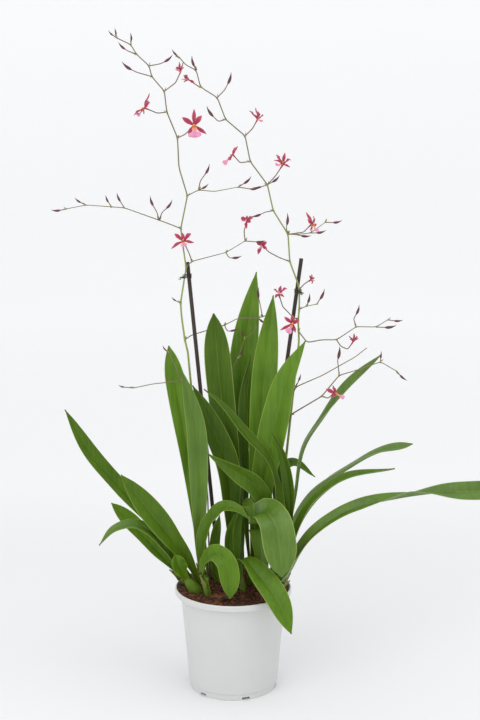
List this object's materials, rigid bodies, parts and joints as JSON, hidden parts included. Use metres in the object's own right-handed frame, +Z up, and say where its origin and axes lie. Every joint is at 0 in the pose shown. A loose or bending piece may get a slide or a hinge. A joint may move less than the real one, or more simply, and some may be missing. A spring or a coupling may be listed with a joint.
{
  "type": "oncidium orchid in a nursery pot",
  "caption": "Potted oncidium orchid with strap leaves, pseudobulbs and branching sprays of small crimson blooms tied to two thin stakes.",
  "frame": {"origin": "middle of the pot's underside, on the floor it stands on", "axes": "+Z up, -Y towards the front of the plant as pictured, +X to its right"},
  "size_m": [0.4494, 0.135, 0.6685],
  "materials": {
    "leaf": "satin",
    "stem": "satin",
    "bulb": "satin",
    "petal": "satin",
    "bark": "matte",
    "pot": "matte",
    "stake": "satin",
    "tie": "satin"
  },
  "bodies": {
    "root": {"bark_mix": "bark", "bloom_centre": "petal", "bloom_far_left": "petal", "bloom_far_right": "petal", "bloom_front": "petal", "bloom_high_left": "petal", "bloom_high_right": "petal", "bloom_left_middle": "petal", "bloom_left_top": "petal", "bloom_low_right": "petal", "bloom_middle": "petal", "bloom_middle_high": "petal", "bloom_right_curled": "petal", "bloom_right_high": "petal", "bloom_right_small": "petal", "bloom_right_upper": "petal", "bloom_top_right": "petal", "leaf_back_right": "leaf", "leaf_bent_left": "leaf", "leaf_diagonal": "leaf", "leaf_far_left": "leaf", "leaf_front_arch": "leaf", "leaf_front_hanging": "leaf", "leaf_front_low": "leaf", "leaf_front_small": "leaf", "leaf_hood": "leaf", "leaf_inner_bright": "leaf", "leaf_inner_yellow": "leaf", "leaf_leaning_dark": "leaf", "leaf_left_broad": "leaf", "leaf_left_droop": "leaf", "leaf_left_low": "leaf", "leaf_middle_left": "leaf", "leaf_middle_right": "leaf", "leaf_narrow": "leaf", "leaf_right_broad": "leaf", "leaf_right_low": "leaf", "leaf_right_middle": "leaf", "leaf_right_tall": "leaf", "leaf_right_upper": "leaf", "leaf_small_upright": "leaf", "leaf_tall_left_back": "leaf", "leaf_tall_left_front": "leaf", "leaf_tallest": "leaf", "pot": "pot", "pseudobulb_back": "bulb", "pseudobulb_left": "bulb", "pseudobulb_middle": "bulb", "spray_centre": "stem", "spray_left": "stem", "spray_low_left": "stem", "spray_low_right": "stem", "spray_right": "stem", "stake_left": "stake", "stake_right": "stake", "tie_left": "tie", "tie_right": "tie"}
  },
  "joints": []
}
